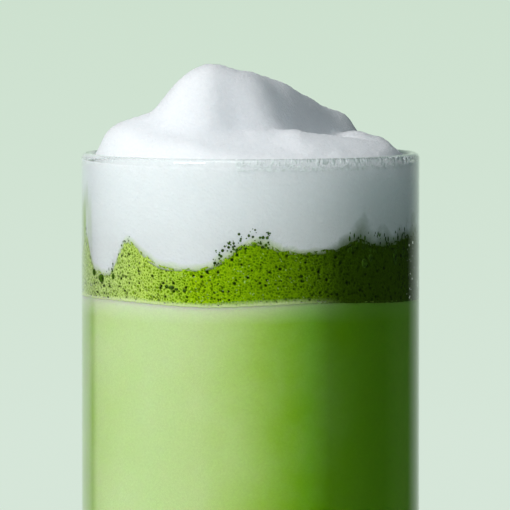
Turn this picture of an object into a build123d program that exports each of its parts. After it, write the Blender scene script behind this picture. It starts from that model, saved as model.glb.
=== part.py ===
from build123d import *
import math
import os

# A layered matcha latte in a straight tumbler: clear glass, pale green milk, a dark
# green froth on it, and milk foam heaped above the rim. Millimetres, +Z up, with the
# origin at the middle of the base. The side that is seen first faces -Y.

# glass
glass_height = 130.0
glass_diameter = 66.0
glass_wall = 2.1
base_thickness = 9.0
heel_radius = 3.0        # outer corner at the foot
well_radius = 6.0        # inner corner at the bottom of the bore
punt_radius = 22.0       # hollow under the base, inside the flat foot ring
punt_depth = 1.0

# milk, measured down from the rim
milk_drop = 27.8
milk_wave = 0.35
milk_wave_length = 40.0
milk_wave_shift = -7.5

# froth, whose top is a level with lobes of foam hanging into it along the wall
froth_drop = 15.7
lobe_sharpness = 6
lobes = [                # azimuth from -Y towards +X in degrees, half width, depth
    (-63, 6.0, 7.0),
    (-24, 9.8, 5.3),
    (21, 8.0, 2.1),
    (54, 5.5, 1.1),
    (95, 8.0, 2.6),
    (130, 7.0, 4.4),
    (165, 9.0, 3.0),
    (203, 7.5, 5.0),
    (240, 8.5, 2.4),
    (267, 6.0, 4.2),
]

# foam: a roll along the wall, and heaps that swell out of one another
foam_edge_drop = 2.0     # where the foam leaves the wall, below the rim
foam_roll_rise = 2.4
foam_roll_width = 1.4    # how far in from the wall the roll and the heaps' outer slope reach
foam_shoulder_inset = 1.6   # where the heaps have half their height, in from the wall
foam_sharpness = 5
foam_ridge_sag = 1.4
heaps = [                # start, end, height and half width at each, fullness of the slope
    ((-8.5, -6.0), (-1.0, -5.5), (16.5, 10.5), (15.5, 12.5), 0.6),    # tall dollop
    ((-2.5, -3.5), (18.5, 20.0), (15.5, 6.0), (16.0, 6.0), 0.7),      # ridge that runs back from it
    ((-18.0, -5.0), (-14.0, 5.0), (7.0, 6.5), (24.0, 17.0), 1.0),     # left shoulder
    ((-9.0, -14.0), (7.0, -15.0), (5.0, 4.0), (20.0, 13.0), 0.9),     # front apron
    ((9.0, -14.0), (24.5, -8.0), (4.0, 2.0), (13.0, 8.0), 0.8),       # its right end
    ((20.0, 8.5), (24.0, 9.5), (3.5, 2.5), (8.5, 8.5), 0.8),          # right tail
]

section_step = 1.5       # spacing of the sections that a liquid or foam surface passes through
section_margin = 2.0     # how far such a surface runs past the bore
headroom = 8.0           # space kept above the tallest heap while the contents are cut

outer_radius = glass_diameter / 2
inner_radius = outer_radius - glass_wall
rim_radius = glass_wall / 2
contents_top = glass_height + max(max(height) for _, _, height, _, _ in heaps) + headroom


def milk_level(x, y):
    turn = 2 * math.pi * (x - milk_wave_shift) / milk_wave_length
    return glass_height - milk_drop - milk_wave * math.cos(turn)


def froth_level(x, y):
    total = 0.0
    for azimuth, half_width, depth in lobes:
        lobe_x = inner_radius * math.sin(math.radians(azimuth))
        lobe_y = -inner_radius * math.cos(math.radians(azimuth))
        away = math.hypot(x - lobe_x, y - lobe_y) / half_width
        total += (depth * math.exp(-away**4)) ** lobe_sharpness
    return glass_height - froth_drop - total ** (1 / lobe_sharpness)


def heap_height(x, y, start, end, height, width, fullness):
    run_x = end[0] - start[0]
    run_y = end[1] - start[1]
    along = ((x - start[0]) * run_x + (y - start[1]) * run_y) / (run_x**2 + run_y**2)
    along = min(max(along * 0.8 + 0.1, 0.0), 1.0)
    along = along * along * (3 - 2 * along)
    reach = width[0] + (width[1] - width[0]) * along
    away = math.hypot(x - start[0] - along * run_x, y - start[1] - along * run_y) / reach
    if away >= 1:
        return 0.0
    crest = height[0] + (height[1] - height[0]) * along**foam_ridge_sag
    return crest * ((1 + math.cos(math.pi * away)) / 2) ** fullness


def foam_level(x, y):
    inset = inner_radius - math.hypot(x, y)
    roll = foam_roll_rise * math.tanh(inset / foam_roll_width)
    share = (1 + math.tanh((inset - foam_shoulder_inset) / foam_roll_width)) / 2
    total = sum(heap_height(x, y, *heap) ** foam_sharpness for heap in heaps)
    return glass_height - foam_edge_drop + roll + share * total ** (1 / foam_sharpness)


def level_block(level):
    """A block wider than the bore, from the foot up to the heights that level(x, y) gives."""
    reach = inner_radius + section_margin
    count = math.ceil(2 * reach / section_step) + 1
    shares = [i / (count - 1) for i in range(count)]
    places = [reach * (2 * share - 1) for share in shares]
    with BuildPart() as block:
        for y in places:
            with BuildSketch(Plane.XZ.offset(-y)):
                with BuildLine():
                    crest = Edge.make_spline([Vector(x, level(x, y)) for x in places], parameters=shares)
                    add(crest)
                    Polyline(crest @ 1, (reach, 0), (-reach, 0), crest @ 0)
                make_face()
        loft()
    return block.part


# Sub-part 1: the tumbler, one turned wall with a fully round rim
with BuildPart() as glass:
    with BuildSketch(Plane.XZ):
        with BuildLine():
            punt = TangentArc((0, punt_depth), (punt_radius, 0), tangent=(1, 0))
            foot = Line(punt @ 1, (outer_radius, 0))
            side = Line(foot @ 1, (outer_radius, glass_height - rim_radius))
            rim = ThreePointArc(
                side @ 1,
                (outer_radius - rim_radius, glass_height),
                (inner_radius, glass_height - rim_radius),
            )
            bore = Line(rim @ 1, (inner_radius, base_thickness))
            well = Line(bore @ 1, (0, base_thickness))
            Line(well @ 1, punt @ 0)
        profile = make_face()
        fillet(profile.vertices().sort_by_distance(foot @ 1)[0], heel_radius)
        fillet(profile.vertices().sort_by_distance(bore @ 1)[0], well_radius)
    revolve(axis=Axis.Z)
glass.part.label = "glass"

# The space that the contents share, before the levels divide it
with BuildPart() as contents:
    with BuildSketch(Plane.XZ):
        with BuildLine():
            Polyline(
                (0, base_thickness),
                (inner_radius, base_thickness),
                (inner_radius, contents_top),
                (0, contents_top),
                close=True,
            )
        section = make_face()
        fillet(section.vertices().sort_by_distance((inner_radius, base_thickness))[0], well_radius)
    revolve(axis=Axis.Z)

milk_block = level_block(milk_level)
froth_block = level_block(froth_level)
foam_block = level_block(foam_level)

# Sub-part 2: matcha milk, from the well up to its own level
with BuildPart() as milk:
    add(contents.part)
    add(milk_block, mode=Mode.INTERSECT)
milk.part.label = "milk"

# Sub-part 3: matcha froth, between the milk and the foam
with BuildPart() as froth:
    add(contents.part)
    add(froth_block, mode=Mode.INTERSECT)
    add(milk_block, mode=Mode.SUBTRACT)
froth.part.label = "froth"

# Sub-part 4: milk foam, from the froth up to its heaped crown
with BuildPart() as foam:
    add(contents.part)
    add(foam_block, mode=Mode.INTERSECT)
    add(froth_block, mode=Mode.SUBTRACT)
foam.part.label = "foam"

os.makedirs("parts", exist_ok=True)
export_step(glass.part, "parts/glass.step")
export_step(milk.part, "parts/milk.step")
export_step(froth.part, "parts/froth.step")
export_step(foam.part, "parts/foam.step")

for piece in (glass, milk, froth, foam):
    box = piece.part.bounding_box()
    print(piece.part.label, round(piece.part.volume), "mm3, top at", round(box.max.Z, 2))
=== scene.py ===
import math
import random

import bpy
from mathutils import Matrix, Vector, kdtree, noise
from mathutils.bvhtree import BVHTree


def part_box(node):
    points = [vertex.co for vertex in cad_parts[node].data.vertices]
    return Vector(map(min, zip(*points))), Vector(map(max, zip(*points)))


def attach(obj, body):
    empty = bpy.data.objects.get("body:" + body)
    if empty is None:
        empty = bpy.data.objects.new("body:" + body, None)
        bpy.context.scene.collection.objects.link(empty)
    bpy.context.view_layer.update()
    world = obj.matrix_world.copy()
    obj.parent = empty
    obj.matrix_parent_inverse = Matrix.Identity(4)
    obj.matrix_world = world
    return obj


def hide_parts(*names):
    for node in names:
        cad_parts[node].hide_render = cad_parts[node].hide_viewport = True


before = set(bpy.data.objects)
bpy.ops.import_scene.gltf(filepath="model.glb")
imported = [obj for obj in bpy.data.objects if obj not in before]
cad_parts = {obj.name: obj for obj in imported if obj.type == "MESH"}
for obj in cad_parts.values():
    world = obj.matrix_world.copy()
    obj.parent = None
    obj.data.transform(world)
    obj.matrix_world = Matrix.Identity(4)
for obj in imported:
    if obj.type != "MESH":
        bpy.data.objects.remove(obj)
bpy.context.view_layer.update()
print("frame loaded")

mm = 0.001
glassLow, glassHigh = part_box("glass")
milkLow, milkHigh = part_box("milk")
rimHeight = glassHigh.z
outerRadius = glassHigh.x
boreRadius = milkHigh.x
boreFloor = milkLow.z
wallReach = 0.12 * mm                  # how far the fillings reach into the wall
fillRadius = boreRadius + wallReach
wellRadius = 6.0 * mm                  # rounding between the bore and its floor
probeInset = 0.08 * mm                 # keeps a probe for a level off the very edge of a node
probeHeight = 0.4                      # metres, well over the foam


# ---- making meshes

def clearSelection():
    if bpy.context.object and bpy.context.object.mode != "OBJECT":
        bpy.ops.object.mode_set(mode="OBJECT")
    bpy.ops.object.select_all(action="DESELECT")


def arcPoints(centre, radius, start, end, steps):   # angles in degrees, from +radius towards +height
    points = []
    for i in range(steps + 1):
        turn = math.radians(start + (end - start) * i / steps)
        points.append((centre[0] + radius * math.cos(turn), centre[1] + radius * math.sin(turn)))
    return points


def turnOutline(name, outline, steps):   # spins an outline of (radius, height) points about the axis
    clearSelection()
    bpy.ops.mesh.primitive_plane_add(size=1 * mm, location=(0, 0, 0))
    piece = bpy.context.object
    piece.name = name
    piece.data.name = name
    bpy.ops.object.mode_set(mode="EDIT")
    bpy.ops.mesh.select_all(action="SELECT")
    bpy.ops.mesh.merge(type="CENTER")
    bpy.ops.transform.translate(value=(outline[0][0], 0, outline[0][1]))
    for here, there in zip(outline, outline[1:]):
        step = (there[0] - here[0], 0, there[1] - here[1])
        bpy.ops.mesh.extrude_vertices_move(TRANSFORM_OT_translate={"value": step})
    bpy.ops.mesh.select_all(action="SELECT")
    bpy.ops.mesh.spin(steps=steps, angle=2 * math.pi, center=(0, 0, 0), axis=(0, 0, 1))
    bpy.ops.mesh.select_all(action="SELECT")
    bpy.ops.mesh.remove_doubles(threshold=0.001 * mm)
    bpy.ops.mesh.normals_make_consistent(inside=False)
    bpy.ops.object.mode_set(mode="OBJECT")
    bpy.ops.object.shade_smooth()
    return piece


def addAttribute(piece, name, values):
    layer = piece.data.attributes.new(name, "FLOAT", "POINT")
    layer.data.foreach_set("value", values)


def joinBeads(name, beads, divisions):   # beads are (place, half sizes along the wall's radius, run and rise)
    clearSelection()
    bpy.ops.mesh.primitive_ico_sphere_add(subdivisions=divisions, radius=1, location=(0, 0, 0))
    first = bpy.context.object
    shape = [vertex.co.copy() for vertex in first.data.vertices]
    faces = [tuple(polygon.vertices) for polygon in first.data.polygons]
    points, polygons = [], []
    for place, sizes in beads:
        turn = math.atan2(place.y, place.x)
        start = len(points)
        for spot in shape:
            out, run = spot.x * sizes[0], spot.y * sizes[1]
            x = place.x + out * math.cos(turn) - run * math.sin(turn)
            y = place.y + out * math.sin(turn) + run * math.cos(turn)
            points.append((x, y, place.z + spot.z * sizes[2]))
        polygons += [tuple(start + corner for corner in face) for face in faces]
    first.name = name
    first.data.clear_geometry()
    first.data.from_pydata(points, [], polygons)
    first.data.name = name
    bpy.ops.object.shade_smooth()
    return first


# ---- levels of the fillings, read from the frame

def treeOf(node):
    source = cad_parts[node].data
    places = [vertex.co for vertex in source.vertices]
    return BVHTree.FromPolygons(places, [polygon.vertices[:] for polygon in source.polygons])


trees = {node: treeOf(node) for node in ("milk", "froth", "foam")}


def levelOf(node, x, y):   # height of the top of a filling over a place in the bore
    radius = math.hypot(x, y)
    limit = boreRadius - probeInset
    if radius > limit:
        x, y = x * limit / radius, y * limit / radius
    hit = trees[node].ray_cast(Vector((x, y, probeHeight)), Vector((0, 0, -1)))
    return hit[0].z


# ---- materials

def newMaterial(name):
    material = bpy.data.materials.new(name)
    material.use_nodes = True
    nodes = material.node_tree.nodes
    links = material.node_tree.links
    shader = nodes["Principled BSDF"]
    return material, nodes, links, shader


def addNode(nodes, kind, **settings):
    node = nodes.new(kind)
    for key, value in settings.items():
        setattr(node, key, value)
    return node


def addRamp(nodes, stops):   # stops are (place, colour)
    ramp = nodes.new("ShaderNodeValToRGB")
    elements = ramp.color_ramp.elements
    while len(elements) < len(stops):
        elements.new(0.5)
    for element, (place, colour) in zip(elements, stops):
        element.position = place
        element.color = (*colour, 1)
    return ramp


def attributeNode(nodes, name):
    return addNode(nodes, "ShaderNodeAttribute", attribute_name=name).outputs["Fac"]


def mapRange(nodes, links, value, start, end, shape="LINEAR"):
    node = addNode(nodes, "ShaderNodeMapRange", interpolation_type=shape)
    node.inputs["From Min"].default_value = start
    node.inputs["From Max"].default_value = end
    links.new(value, node.inputs["Value"])
    return node.outputs["Result"]


def rampValue(nodes, links, value, stops):   # stops are (place, grey)
    ramp = addRamp(nodes, [(place, (grey, grey, grey)) for place, grey in stops])
    links.new(value, ramp.inputs["Fac"])
    return ramp.outputs["Color"]


def mixShaders(nodes, links, factor, first, second):
    mix = addNode(nodes, "ShaderNodeMixShader")
    links.new(factor, mix.inputs["Fac"])
    links.new(first.outputs[0], mix.inputs[1])
    links.new(second.outputs[0], mix.inputs[2])
    return mix.outputs[0]


def objectCoordinates(nodes):
    return addNode(nodes, "ShaderNodeTexCoord").outputs["Object"]


def noiseNode(nodes, links, scale, detail=3.0, roughness=0.5, vector=None):
    node = addNode(nodes, "ShaderNodeTexNoise")
    node.inputs["Scale"].default_value = scale
    node.inputs["Detail"].default_value = detail
    node.inputs["Roughness"].default_value = roughness
    links.new(vector or objectCoordinates(nodes), node.inputs["Vector"])
    return node.outputs["Fac"]


def mixColours(nodes, links, factor, first, second, blend="MIX"):
    mix = addNode(nodes, "ShaderNodeMix", data_type="RGBA", blend_type=blend)
    for socket, value in ((mix.inputs["Factor"], factor), (mix.inputs[6], first), (mix.inputs[7], second)):
        if isinstance(value, bpy.types.NodeSocket):
            links.new(value, socket)
        elif isinstance(value, tuple):
            socket.default_value = (*value, 1)
        else:
            socket.default_value = value
    return mix.outputs[2]


def mathNode(nodes, links, operation, *values):
    node = addNode(nodes, "ShaderNodeMath", operation=operation)
    for socket, value in zip(node.inputs, values):
        if isinstance(value, bpy.types.NodeSocket):
            links.new(value, socket)
        else:
            socket.default_value = value
    return node.outputs[0]


def sideShare(nodes, links, start, end):   # 0 to 1 across the piece, towards +X
    place = addNode(nodes, "ShaderNodeSeparateXYZ")
    links.new(objectCoordinates(nodes), place.inputs[0])
    return mapRange(nodes, links, place.outputs["X"], start, end, "SMOOTHSTEP")


def litShare(nodes, links, start, end):   # 1 on the lit side, 0 on the shaded one
    return mathNode(nodes, links, "SUBTRACT", 1.0, sideShare(nodes, links, start, end))


rampReach = 40 * mm   # the colour ramps across a piece run this far to both sides of its axis


def acrossRamp(nodes, links, stops):   # stops are (millimetres towards +X, colour)
    place = addNode(nodes, "ShaderNodeSeparateXYZ")
    links.new(objectCoordinates(nodes), place.inputs[0])
    share = mathNode(nodes, links, "MULTIPLY_ADD", place.outputs["X"], 0.5 / rampReach, 0.5)
    ramp = addRamp(nodes, [(0.5 + 0.5 * across * mm / rampReach, colour) for across, colour in stops])
    links.new(share, ramp.inputs["Fac"])
    return ramp.outputs["Color"]


def addBump(nodes, links, height, strength, distance, normal=None):
    bump = addNode(nodes, "ShaderNodeBump")
    bump.inputs["Strength"].default_value = strength
    bump.inputs["Distance"].default_value = distance
    links.new(height, bump.inputs["Height"])
    if normal:
        links.new(normal, bump.inputs["Normal"])
    return bump.outputs["Normal"]


# ---- tumbler

tumbler = {
    "turnSteps": 256,
    "heelRadius": 3.0 * mm,
    "puntRadius": 22.0 * mm,   # the shallow hollow under the base
    "puntDepth": 1.0 * mm,
    "puntSteps": 8,
    "wallShares": (0.25, 0.5, 0.75, 0.9),   # rows up the wall, as shares of its height
    "index": 1.5,
    "tint": (0.985, 1.0, 0.99),
    "shadeTint": (0.99, 1.0, 0.995),
}


def makeTumbler(s):
    wall = outerRadius - boreRadius
    sphere = (s["puntRadius"] ** 2 + s["puntDepth"] ** 2) / (2 * s["puntDepth"])
    outline = []
    for i in range(s["puntSteps"] + 1):
        radius = s["puntRadius"] * i / s["puntSteps"]
        outline.append((radius, math.sqrt(sphere ** 2 - radius ** 2) - sphere + s["puntDepth"]))
    heel = (outerRadius - s["heelRadius"], s["heelRadius"])
    well = (boreRadius - wellRadius, boreFloor + wellRadius)
    outline += arcPoints(heel, s["heelRadius"], -90, 0, 10)
    outline += [(outerRadius, rimHeight * share) for share in s["wallShares"]]
    outline += arcPoints((outerRadius - wall / 2, rimHeight - wall / 2), wall / 2, 0, 180, 16)
    outline += [(boreRadius, rimHeight * share) for share in reversed(s["wallShares"])]
    outline += arcPoints(well, wellRadius, 0, -90, 12)
    outline.append((0, boreFloor))
    piece = turnOutline("tumbler", outline, s["turnSteps"])

    material, nodes, links, shader = newMaterial("clearGlass")
    shader.inputs["Base Color"].default_value = (*s["tint"], 1)
    shader.inputs["Roughness"].default_value = 0.0
    shader.inputs["IOR"].default_value = s["index"]
    shader.inputs["Transmission Weight"].default_value = 1.0
    clear = addNode(nodes, "ShaderNodeBsdfTransparent")
    clear.inputs["Color"].default_value = (*s["shadeTint"], 1)
    path = addNode(nodes, "ShaderNodeLightPath").outputs
    straight = mathNode(nodes, links, "MAXIMUM", path["Is Shadow Ray"], path["Is Diffuse Ray"])
    surface = mixShaders(nodes, links, straight, shader, clear)
    links.new(surface, nodes["Material Output"].inputs["Surface"])
    piece.data.materials.append(material)
    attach(piece, "root")
    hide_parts("glass")
    print("tumbler made")


# ---- milk

milk = {
    "turnSteps": 256,
    "floorReach": 0.1 * mm,    # how far it reaches into the floor of the bore
    "topDrop": 0.3 * mm,       # its even top, under the crest of the level
    "blendDepth": 10.5 * mm,   # the level's waves die away over this depth
    "cloudScale": 60,
    "grainScale": 2600,
    "litFrom": 0.0,
    "litTo": 24 * mm,
    "rowDepths": (0.0, 0.15, 0.3, 0.5, 0.8, 1.2, 1.8, 2.6, 4.0, 6.0, 10.0),
    # the milk's colour across X is partly painted shade: pale on the -X side, dark towards +X away from the
    # key lamp, with a painted dark line near the -X edge and a painted lighter strip at the +X edge
    "body": [(-31.0, (0.50, 0.64, 0.30)), (-30.0, (0.46, 0.60, 0.26)), (-29.4, (0.38, 0.55, 0.14)),
             (-28.6, (0.58, 0.73, 0.30)), (-19, (0.60, 0.74, 0.35)), (-10, (0.60, 0.73, 0.32)),
             (-4, (0.53, 0.70, 0.21)), (2, (0.42, 0.63, 0.09)), (8, (0.28, 0.53, 0.02)),
             (11, (0.21, 0.47, 0.008)), (15, (0.14, 0.33, 0.003)), (25, (0.16, 0.37, 0.012)),
             (30.5, (0.26, 0.50, 0.06))],
    "cloud": (0.80, 0.86, 0.62),
    "topBand": (0.86, 0.90, 0.76),
}


def makeMilk(s):
    floor = boreFloor - s["floorReach"]
    top = milkHigh.z - s["topDrop"]
    outline = [(0, floor)]
    outline += arcPoints((fillRadius - wellRadius, floor + wellRadius), wellRadius, -90, 0, 12)
    outline += [(fillRadius, boreFloor + 30 * mm), (fillRadius, boreFloor + 60 * mm)]
    outline += [(fillRadius, top - depth * mm) for depth in reversed(s["rowDepths"])]
    outline += [(fillRadius * share, top) for share in (0.8, 0.6, 0.4, 0.2)]
    outline.append((0, top))
    piece = turnOutline("milkFill", outline, s["turnSteps"])
    lowest = top - s["blendDepth"]
    depths = []
    for vertex in piece.data.vertices:
        depth = top - vertex.co.z
        depths.append(depth / mm)
        if vertex.co.z > lowest:
            share = min(max((vertex.co.z - lowest) / (top - lowest), 0), 1)
            vertex.co.z += (levelOf("milk", vertex.co.x, vertex.co.y) - top) * share
    addAttribute(piece, "depth", depths)

    material, nodes, links, shader = newMaterial("matchaMilk")
    coordinates = objectCoordinates(nodes)
    depth = attributeNode(nodes, "depth")
    cloudy = noiseNode(nodes, links, s["cloudScale"], 4.0, 0.55, coordinates)
    grain = noiseNode(nodes, links, s["grainScale"], 2.0, 0.6, coordinates)
    lit = litShare(nodes, links, s["litFrom"], s["litTo"])
    clouds = mathNode(nodes, links, "MULTIPLY_ADD", cloudy, 0.6, -0.24)
    cloudShare = mathNode(nodes, links, "MULTIPLY", clouds, lit)
    # the across-X colour puts painted shade into the milk: it darkens towards +X
    colour = mixColours(nodes, links, cloudShare, acrossRamp(nodes, links, s["body"]), s["cloud"])
    wobble = mathNode(nodes, links, "MULTIPLY_ADD", cloudy, 2.4, -1.2)
    bandPlace = mathNode(nodes, links, "MULTIPLY", mathNode(nodes, links, "ADD", depth, wobble), 0.25)
    band = rampValue(nodes, links, bandPlace, [(0.0, 0.5), (0.35, 0.32), (1.0, 0.0)])
    leastLit = mathNode(nodes, links, "MAXIMUM", lit, 0.1)
    bandShare = mathNode(nodes, links, "MULTIPLY", band, leastLit)
    colour = mixColours(nodes, links, bandShare, colour, s["topBand"])
    speckle = mathNode(nodes, links, "MULTIPLY_ADD", grain, 0.22, 0.89)
    colour = mixColours(nodes, links, 1.0, colour, speckle, "MULTIPLY")
    links.new(colour, shader.inputs["Base Color"])
    shader.inputs["Roughness"].default_value = 0.55
    shader.inputs["Specular IOR Level"].default_value = 0.0
    shader.inputs["Subsurface Weight"].default_value = 1.0
    shader.inputs["Subsurface Radius"].default_value = (0.7, 1.0, 0.5)
    shader.inputs["Subsurface Scale"].default_value = 3.0 * mm
    links.new(addBump(nodes, links, cloudy, 0.15, 0.2 * mm), shader.inputs["Normal"])
    piece.data.materials.append(material)
    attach(piece, "root")
    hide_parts("milk")
    print("milk made")


# ---- froth

froth = {
    "turnSteps": 900,
    "rows": 64,
    "seed": 11,
    "startDrop": 2 * mm,       # even lower edge before the levels shape it, under the crest of the milk
    "milkReach": 0.35 * mm,    # how far it reaches into the milk
    "edgeFine": (900, 0.35 * mm),      # unevenness of the upper edge, scale and height
    "edgeCoarse": (260, 0.45 * mm),
    "edgeLow": (1400, 0.12 * mm),      # and of the lower edge
    "bubbleScale": 1700,
    "grainScale": 2400,
    "litFrom": 4 * mm,
    "litTo": 18 * mm,
    "pores": 3600,
    "poreSize": (0.14, 0.42),
    "poreDepth": 0.25,
    "poreDarkness": (0.25, 0.35, 0.45, 0.6, 1.0),
    "specks": 1100,
    "speckSize": (0.08, 0.18),
    # the wall and cell colours hold painted shade: both darken towards +X, away from the key lamp
    "wallsWithShade": [(-31, (0.55, 0.66, 0.28)), (-20, (0.56, 0.72, 0.13)), (-11, (0.36, 0.57, 0.006)),
              (0, (0.24, 0.42, 0.002)), (9, (0.15, 0.28, 0.001)), (17, (0.045, 0.095, 0.001))],
    "cells": [(-31, (0.30, 0.42, 0.09)), (-20, (0.19, 0.32, 0.008)), (-11, (0.14, 0.29, 0.001)),
              (0, (0.11, 0.24, 0.001)), (9, (0.07, 0.15, 0.001)), (17, (0.03, 0.06, 0.001)),
              (26, (0.05, 0.09, 0.004))],
    "hem": (0.72, 0.82, 0.40),
    "deep": (0.012, 0.03, 0.001),
    "speck": (0.66, 0.80, 0.34),
}


def frothLow(x, y):
    return levelOf("milk", x, y)


def frothHigh(x, y):
    return levelOf("froth", x, y)


def wallPlace(azimuth, height):   # azimuth in degrees from the front towards +X
    turn = math.radians(azimuth)
    return Vector((fillRadius * math.sin(turn), -fillRadius * math.cos(turn), height))


def uneven(place, scale, height):
    return noise.noise(place * scale) * height


def frothSpot():   # a random place on the froth's wall
    azimuth = random.uniform(-180, 180)
    spot = wallPlace(azimuth, 0)
    base, crest = frothLow(spot.x, spot.y), frothHigh(spot.x, spot.y)
    spot.z = base + (crest - base) * random.random()
    return spot


def makeFroth(s):
    random.seed(s["seed"])
    low, high = milkHigh.z - s["startDrop"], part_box("froth")[1].z
    outline = [(0, low)]
    outline += [(fillRadius, low + (high - low) * i / s["rows"]) for i in range(s["rows"] + 1)]
    outline.append((0, high))
    piece = turnOutline("frothFill", outline, s["turnSteps"])
    vertices = piece.data.vertices
    for vertex in vertices:
        x, y = vertex.co.x, vertex.co.y
        share = (vertex.co.z - low) / (high - low)
        bottom, top = frothLow(x, y) - s["milkReach"], frothHigh(x, y)
        fringe = uneven(Vector((x, y, 0)), *s["edgeFine"]) + uneven(Vector((x, y, 0)), *s["edgeCoarse"])
        hem = uneven(Vector((x, y, 1)), *s["edgeLow"])
        vertex.co.z = (bottom + hem) * (1 - share) + (top + fringe) * share

    pores = kdtree.KDTree(s["pores"])
    sizes, darkness = [], []
    for i in range(s["pores"]):
        pores.insert(frothSpot(), i)
        small, large = s["poreSize"]
        sizes.append((small + (large - small) * random.random() ** 2.5) * mm)
        darkness.append(random.choice(s["poreDarkness"]))
    pores.balance()
    specks = kdtree.KDTree(s["specks"])
    speckSizes = []
    for i in range(s["specks"]):
        specks.insert(frothSpot(), i)
        speckSizes.append(random.uniform(*s["speckSize"]) * mm)
    specks.balance()
    poreValues, speckValues, heights = [], [], []
    for vertex in vertices:
        place = vertex.co.copy()
        pit = 0.0
        for spot, index, distance in pores.find_n(place, 3):
            pit = max(pit, (1 - (distance / sizes[index]) ** 2) * darkness[index])
        shine = 0.0
        for spot, index, distance in specks.find_n(place, 2):
            shine = max(shine, 1 - (distance / speckSizes[index]) ** 2)
        radius = math.hypot(place.x, place.y)
        base, crest = frothLow(place.x, place.y), frothHigh(place.x, place.y)
        heights.append((place.z - base) / max(crest - base, 1e-5))
        poreValues.append(max(pit, 0.0))
        speckValues.append(max(shine, 0.0))
        if radius > fillRadius * 0.98 and pit > 0:
            sink = 1 - pit * s["poreDepth"] * mm / radius
            vertex.co.x *= sink
            vertex.co.y *= sink
    addAttribute(piece, "pore", poreValues)
    addAttribute(piece, "speck", speckValues)
    addAttribute(piece, "height", heights)

    material, nodes, links, shader = newMaterial("matchaFroth")
    coordinates = objectCoordinates(nodes)
    fine = noiseNode(nodes, links, s["grainScale"], 3.0, 0.7, coordinates)
    bubbles = addNode(nodes, "ShaderNodeTexVoronoi", feature="DISTANCE_TO_EDGE")
    bubbles.inputs["Scale"].default_value = s["bubbleScale"]
    links.new(coordinates, bubbles.inputs["Vector"])
    film = rampValue(nodes, links, bubbles.outputs["Distance"], [(0.04, 1.0), (0.26, 0.0)])
    # painted shade: the wall and cell colours darken towards +X
    wallsWithShade, cells = acrossRamp(nodes, links, s["wallsWithShade"]), acrossRamp(nodes, links, s["cells"])
    colour = mixColours(nodes, links, film, cells, wallsWithShade)
    shade = mathNode(nodes, links, "MULTIPLY_ADD", fine, 1.5, 0.25)
    colour = mixColours(nodes, links, 1.0, colour, shade, "MULTIPLY")
    jitter = mathNode(nodes, links, "MULTIPLY_ADD", fine, 0.12, -0.06)
    rise = mathNode(nodes, links, "ADD", attributeNode(nodes, "height"), jitter)
    hem = rampValue(nodes, links, rise, [(0.0, 0.8), (0.03, 0.35), (0.08, 0.0)])
    lit = litShare(nodes, links, s["litFrom"], s["litTo"])
    hemShare = mathNode(nodes, links, "MULTIPLY", hem, lit)
    colour = mixColours(nodes, links, hemShare, colour, s["hem"])
    pore = rampValue(nodes, links, attributeNode(nodes, "pore"), [(0.05, 0.0), (0.7, 1.0)])
    colour = mixColours(nodes, links, pore, colour, s["deep"])
    speck = rampValue(nodes, links, attributeNode(nodes, "speck"), [(0.1, 0.0), (0.9, 0.5)])
    speckShare = mathNode(nodes, links, "MULTIPLY", speck, lit)
    colour = mixColours(nodes, links, speckShare, colour, s["speck"])
    links.new(colour, shader.inputs["Base Color"])
    shader.inputs["Roughness"].default_value = 0.5
    shader.inputs["Specular IOR Level"].default_value = 0.0
    links.new(addBump(nodes, links, fine, 0.5, 0.15 * mm), shader.inputs["Normal"])
    piece.data.materials.append(material)
    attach(piece, "root")
    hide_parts("froth")
    print("froth made")


# ---- milk foam

foam = {
    "turnSteps": 640,
    "crownRings": 84,
    "wallRows": 40,
    "frothReach": 0.6 * mm,    # how far it reaches into the froth
    "lumps": (170, 0.35 * mm),     # scale and height of the crown's unevenness
    "pebble": (1300, 0.14 * mm),
    "calmEdge": 1.5 * mm,      # the unevenness fades out this close to the bore
    "cellScale": 1900,
    "grainScale": 1500,
    "patchScale": 130,
    "body": (0.90, 0.915, 0.945),
    "hollow": (0.76, 0.80, 0.84),
    # a real green stain from the froth, whose darkening towards +X is painted shade
    "stainAndShade": [(-31, (0.66, 0.80, 0.42)), (0, (0.62, 0.78, 0.32)),
              (10, (0.34, 0.46, 0.12)), (16, (0.13, 0.20, 0.07))],
    "stainReach": 5.0,         # in mm over the froth
    "smear": (0.40, 0.54, 0.16),
    "smearAzimuth": -84,
    "smearWidth": 14,
    "smearDrop": 6 * mm,       # it starts this far under the rim
    "smearFade": 8 * mm,
    "scatter": 12.0 * mm,      # how far light spreads, less close to the froth
    "scatterEdge": 1.5 * mm,
}


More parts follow.
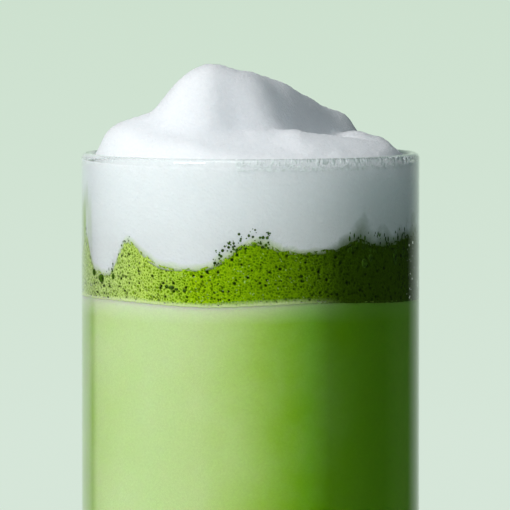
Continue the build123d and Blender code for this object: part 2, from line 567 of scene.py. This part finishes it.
def makeFoam(s):
    low, high = milkHigh.z, rimHeight
    outline = [(0, low), (fillRadius * 0.5, low), (fillRadius * 0.9, low)]
    outline += [(fillRadius, low + (high - low) * i / s["wallRows"]) for i in range(s["wallRows"] + 1)]
    for i in range(1, s["crownRings"]):
        share = 1 - i / s["crownRings"]
        outline.append((fillRadius * share ** 0.85, high))
    outline.append((0, high))
    piece = turnOutline("foamFill", outline, s["turnSteps"])
    above, smears = [], []
    for vertex in piece.data.vertices:
        x, y = vertex.co.x, vertex.co.y
        radius = math.hypot(x, y)
        share = (vertex.co.z - low) / (high - low)
        azimuth = math.degrees(math.atan2(x, -y))
        band = max(0, 1 - abs(azimuth - s["smearAzimuth"]) / s["smearWidth"])
        drop = min(max((rimHeight - s["smearDrop"] - vertex.co.z) / s["smearFade"], 0), 1)
        streak = 0.5 + noise.noise(Vector((azimuth * 0.35, vertex.co.z * 60, 3)))
        smear = min(band * 1.6, 1) * drop * min(max(streak, 0), 1)
        smears.append(smear if radius > fillRadius * 0.98 else 0)
        bottom, top = levelOf("froth", x, y) - s["frothReach"], levelOf("foam", x, y)
        height = bottom * (1 - share) + top * share
        above.append((height - bottom) / mm if share < 1 else 30.0)
        vertex.co.z = height
        if share > 0.999:
            place = Vector((x, y, height))
            soft = noise.fractal(place * s["lumps"][0], 1.0, 2.0, 3) * s["lumps"][1]
            pebble = uneven(place, *s["pebble"])
            fade = min(max((boreRadius - radius) / s["calmEdge"], 0), 1)
            vertex.co.z += (soft + pebble) * fade
    addAttribute(piece, "above", above)
    addAttribute(piece, "smear", smears)

    material, nodes, links, shader = newMaterial("milkFoam")
    coordinates = objectCoordinates(nodes)
    above = attributeNode(nodes, "above")
    cells = addNode(nodes, "ShaderNodeTexVoronoi")
    cells.inputs["Scale"].default_value = s["cellScale"]
    links.new(coordinates, cells.inputs["Vector"])
    fine = noiseNode(nodes, links, s["grainScale"], 3.0, 0.6, coordinates)
    patch = noiseNode(nodes, links, s["patchScale"], 3.0, 0.55, coordinates)
    grain = mathNode(nodes, links, "MULTIPLY_ADD", fine, 0.6, -0.14)
    colour = mixColours(nodes, links, grain, s["body"], s["hollow"])
    wider = mathNode(nodes, links, "MULTIPLY_ADD", sideShare(nodes, links, 14 * mm, 20 * mm), 1.5, 1.0)
    patchy = mathNode(nodes, links, "POWER", patch, 1.6)
    reach = mathNode(nodes, links, "MULTIPLY", patchy, s["stainReach"])
    reach = mathNode(nodes, links, "MULTIPLY", reach, wider)
    rise = mathNode(nodes, links, "DIVIDE", above, reach)
    # the stain's colour darkens towards +X: painted shade over a real green stain
    stainAndShade = rampValue(nodes, links, rise, [(0.0, 1.0), (0.45, 0.6), (1.0, 0.0)])
    colour = mixColours(nodes, links, stainAndShade, colour, acrossRamp(nodes, links, s["stainAndShade"]))
    colour = mixColours(nodes, links, attributeNode(nodes, "smear"), colour, s["smear"])
    links.new(colour, shader.inputs["Base Color"])
    shader.inputs["Roughness"].default_value = 0.7
    shader.inputs["Specular IOR Level"].default_value = 0.12
    shader.inputs["Subsurface Weight"].default_value = 1.0
    shader.inputs["Subsurface Radius"].default_value = (0.95, 1.0, 1.0)
    spread = mathNode(nodes, links, "MULTIPLY_ADD", above, s["scatterEdge"], s["scatterEdge"])
    links.new(mathNode(nodes, links, "MINIMUM", spread, s["scatter"]), shader.inputs["Subsurface Scale"])
    first = addBump(nodes, links, cells.outputs["Distance"], 0.6, 0.25 * mm)
    links.new(addBump(nodes, links, fine, 0.5, 0.2 * mm, first), shader.inputs["Normal"])
    piece.data.materials.append(material)
    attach(piece, "root")
    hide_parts("foam")
    print("foam made")


# ---- loose bubbles on the glass: green ones above the froth, pale ones under the rim

bubbleGroups = {
    "greenBubbles": {
        "seed": 5,
        "colour": (0.045, 0.10, 0.004),
        "blotches": 5.0,
        "depth": 0.05 * mm,
        "groups": [   # azimuths, heights over the froth in mm, count, half widths in mm, stretch upwards
            (-13, 7, -0.8, 2.6, 90, 0.10, 0.34, 1.0),
            (-60, -46, -0.5, 1.4, 16, 0.10, 0.25, 1.2),
            (36, 68, -1.5, 2.2, 110, 0.08, 0.22, 2.6),
            (75, 285, -0.8, 2.2, 240, 0.10, 0.30, 1.4),
        ],
        "single": [   # azimuth, then drop from the rim, half width and half height in mm
            (-63.5, 23.8, 1.05, 0.85),
            (-55.7, 23.2, 0.50, 0.62),
            (-69.5, 22.8, 0.80, 0.70),
            (-28.5, 24.8, 0.62, 0.42),
            (-26.6, 25.1, 0.40, 0.28),
            (-30.4, 24.6, 0.40, 0.35),
            (-23.6, 25.3, 0.34, 0.26),
            (43.5, 20.4, 0.75, 0.95),
            (46.5, 19.4, 0.60, 0.80),
            (60.5, 19.6, 0.80, 1.70),
            (66.5, 18.8, 0.70, 1.30),
        ],
    },
    "rimBubbles": {
        "seed": 8,
        "colour": (0.86, 0.90, 0.90),
        "blotches": 1.0,
        "depth": 0.07 * mm,
        "groups": [   # azimuths, heights from the rim in mm, count, half widths in mm, stretch upwards
            (-5, 75, -2.4, -0.8, 1100, 0.06, 0.20, 1.0),
            (-75, 0, -2.3, -1.1, 90, 0.06, 0.14, 1.0),
            (75, 285, -2.3, -1.0, 420, 0.06, 0.18, 1.0),
        ],
        "single": [],
    },
}


def makeBubbles(name, s, levelHeight):
    random.seed(s["seed"])
    beads = []
    for azimuthLow, azimuthHigh, low, high, count, small, large, stretch in s["groups"]:
        for i in range(count):
            spot = wallPlace(random.uniform(azimuthLow, azimuthHigh), 0)
            spot.z = levelHeight(spot.x, spot.y) + (low + (high - low) * random.random() ** 1.5) * mm
            width = (small + (large - small) * random.random() ** 2) * mm
            beads.append((spot, (s["depth"], width, width * stretch)))
    for azimuth, drop, width, height in s["single"]:
        spot = wallPlace(azimuth, rimHeight - drop * mm)
        beads.append((spot, (s["depth"] * 1.5, width * mm, height * mm)))
    piece = joinBeads(name, beads, 2)
    material, nodes, links, shader = newMaterial(name + "Skin")
    blotch = noiseNode(nodes, links, 1300, 3.0, 0.6)
    shade = mathNode(nodes, links, "MULTIPLY_ADD", blotch, s["blotches"], 1 - 0.5 * s["blotches"])
    links.new(mixColours(nodes, links, 1.0, s["colour"], shade, "MULTIPLY"), shader.inputs["Base Color"])
    shader.inputs["Roughness"].default_value = 0.4
    shader.inputs["Specular IOR Level"].default_value = 0.1
    piece.data.materials.append(material)
    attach(piece, "root")
    print(name + " made")


def rimLevel(x, y):
    return rimHeight


# ---- studio

studio = {
    "floorSides": 96,
    "floorRadius": 0.5,
    "floorFade": (0.5, 0.98),   # it fades out between these shares of its radius
    "floorColour": (0.64, 0.76, 0.66),
    "behind": (0.61, 0.75, 0.62),
    "behindLow": (0.67, 0.79, 0.69),
    "slope": (-0.02, -0.08),    # the rise at which behind gives way to behindLow
    "front": (0.012, 0.014, 0.013),
    "frontEdge": (0.72, 0.98),  # reflections change from front to behind over this share of +Y
    "fill": (0.060, 0.086, 0.096),
    "aimDrop": 20 * mm,         # the lamps aim this far under the rim
    "cameraDistance": 1.5,
    "cameraRise": 3.2,
    "cameraDrop": 20.1 * mm,
    "cameraShift": 0.88 * mm,
    "lens": 542.0,
}

lamps = [   # name, azimuth from the front towards -X, rise, distance, size, level, colour
    ("keyLamp", 45, 31, 0.9, 0.34, 0.82, (0.975, 0.985, 1.0)),
    ("topLamp", 20, 64, 0.9, 0.5, 0.24, (0.97, 0.985, 1.0)),
]


def makeStudio(s):
    clearSelection()
    bpy.ops.mesh.primitive_circle_add(
        vertices=s["floorSides"], radius=s["floorRadius"], fill_type="NGON", location=(0, 0, 0))
    floor = bpy.context.object
    floor.name = "floor"
    material, nodes, links, shader = newMaterial("paleFloor")
    shader.inputs["Base Color"].default_value = (*s["floorColour"], 1)
    shader.inputs["Roughness"].default_value = 0.7
    clear = addNode(nodes, "ShaderNodeBsdfTransparent")
    split = addNode(nodes, "ShaderNodeVectorMath", operation="LENGTH")
    links.new(objectCoordinates(nodes), split.inputs[0])
    start, end = (s["floorRadius"] * share for share in s["floorFade"])
    fade = mapRange(nodes, links, split.outputs["Value"], start, end)
    surface = mixShaders(nodes, links, fade, shader, clear)
    links.new(surface, nodes["Material Output"].inputs["Surface"])
    floor.data.materials.append(material)

    world = bpy.data.worlds.new("studioWorld")
    bpy.context.scene.world = world
    world.use_nodes = True
    nodes, links = world.node_tree.nodes, world.node_tree.links
    shown = nodes["Background"]
    direction = addNode(nodes, "ShaderNodeTexCoord").outputs["Generated"]
    parts = addNode(nodes, "ShaderNodeSeparateXYZ")
    links.new(direction, parts.inputs[0])
    side = mapRange(nodes, links, parts.outputs["Y"], *s["frontEdge"])
    path = addNode(nodes, "ShaderNodeLightPath").outputs
    seen = mathNode(nodes, links, "MAXIMUM", side, path["Is Camera Ray"])
    slope = mapRange(nodes, links, parts.outputs["Z"], *s["slope"])
    wall = mixColours(nodes, links, slope, s["behind"], s["behindLow"])
    links.new(mixColours(nodes, links, seen, s["front"], wall), shown.inputs["Color"])
    fill = addNode(nodes, "ShaderNodeBackground")
    fill.inputs["Color"].default_value = (*s["fill"], 1)
    shows = mathNode(nodes, links, "MAXIMUM", path["Is Camera Ray"], path["Is Glossy Ray"])
    shows = mathNode(nodes, links, "MAXIMUM", shows, path["Is Transmission Ray"])
    surface = mixShaders(nodes, links, shows, fill, shown)
    links.new(surface, nodes["World Output"].inputs["Surface"])

    middle = Vector((0, 0, rimHeight - s["aimDrop"]))
    for name, azimuth, rise, distance, size, level, colour in lamps:
        clearSelection()
        turn, lift = math.radians(azimuth), math.radians(rise)
        away = Vector((-math.sin(turn) * math.cos(lift), -math.cos(turn) * math.cos(lift), math.sin(lift)))
        bpy.ops.object.light_add(type="AREA", location=middle + away * distance)
        lamp = bpy.context.object
        lamp.name = name
        lamp.rotation_euler = away.to_track_quat("Z", "Y").to_euler()
        lamp.data.shape = "DISK"
        lamp.data.size = size
        lamp.data.energy = math.pi ** 2 * distance ** 2 * level
        lamp.data.color = colour

    clearSelection()
    rise = math.radians(s["cameraRise"])
    target = Vector((s["cameraShift"], 0, rimHeight - s["cameraDrop"]))
    place = target + Vector((0, -math.cos(rise), math.sin(rise))) * s["cameraDistance"]
    bpy.ops.object.camera_add(location=place, rotation=(math.pi / 2 - rise, 0, 0))
    camera = bpy.context.object
    camera.name = "camera"
    camera.data.sensor_width = 36
    camera.data.lens = s["lens"]
    camera.data.clip_start = 0.05
    bpy.context.scene.camera = camera
    bpy.context.scene.view_settings.view_transform = "Standard"
    print("studio made")


makeStudio(studio)
makeTumbler(tumbler)
makeMilk(milk)
makeFroth(froth)
makeFoam(foam)
makeBubbles("greenBubbles", bubbleGroups["greenBubbles"], frothHigh)
makeBubbles("rimBubbles", bubbleGroups["rimBubbles"], rimLevel)
